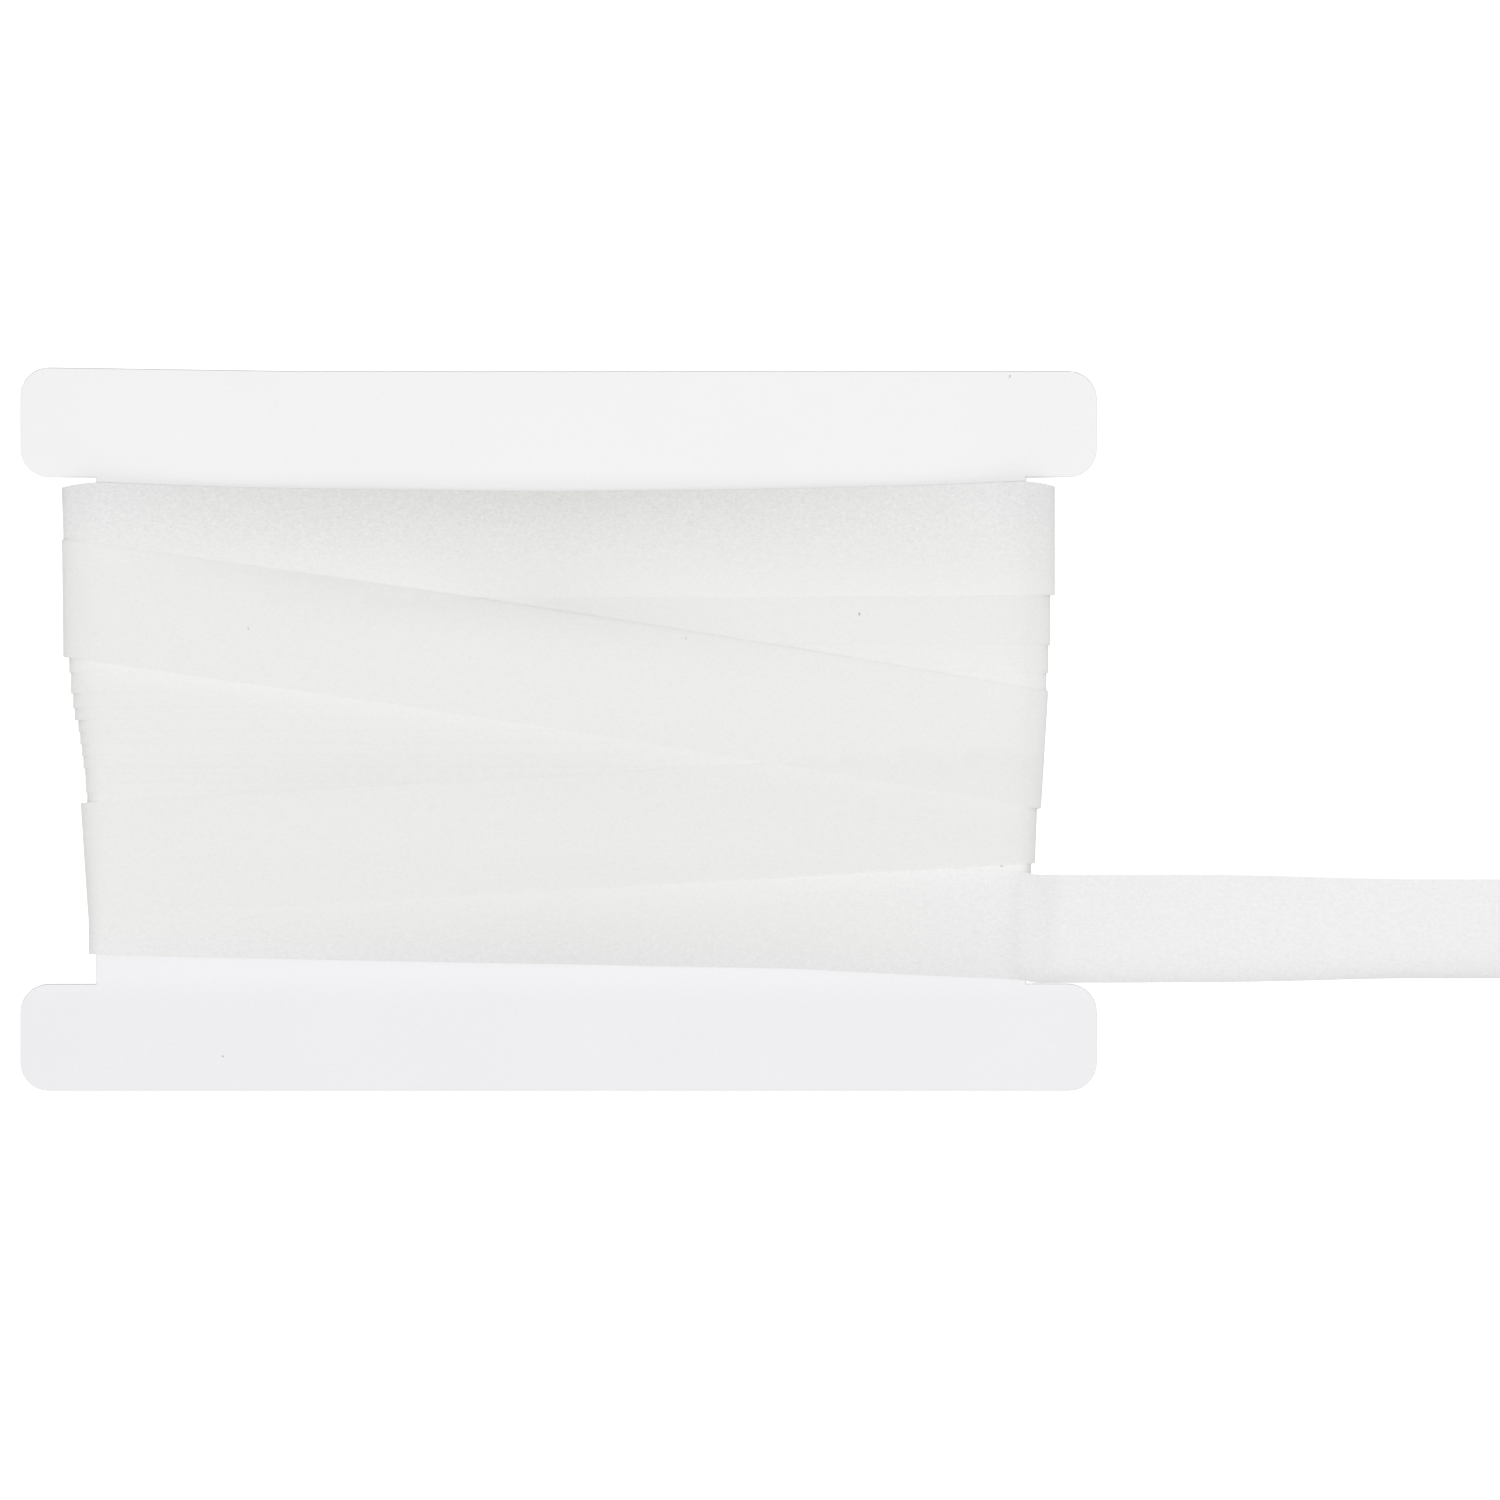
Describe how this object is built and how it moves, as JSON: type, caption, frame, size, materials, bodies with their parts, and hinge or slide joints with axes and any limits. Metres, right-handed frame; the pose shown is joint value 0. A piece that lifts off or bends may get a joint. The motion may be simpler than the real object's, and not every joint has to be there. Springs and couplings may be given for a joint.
{
  "type": "roll of fusible web tape on a flat card",
  "caption": "Flat H-shaped card wound with slanting bands of white non-woven fusible tape, with its loose end lying out to the side.",
  "frame": {"origin": "on the flat back of the winding, under the middle of the card", "axes": "+X along the turns towards the loose end, +Y up the card, +Z out of the front, away from the surface it lies on"},
  "size_m": [0.3463, 0.1644, 0.0094],
  "materials": {
    "card": "smooth uncoated white board",
    "tape": "soft translucent non-woven web"
  },
  "bodies": {
    "root": {"card": "card", "tape_winding": "tape", "tape_tail": "tape"}
  },
  "joints": []
}
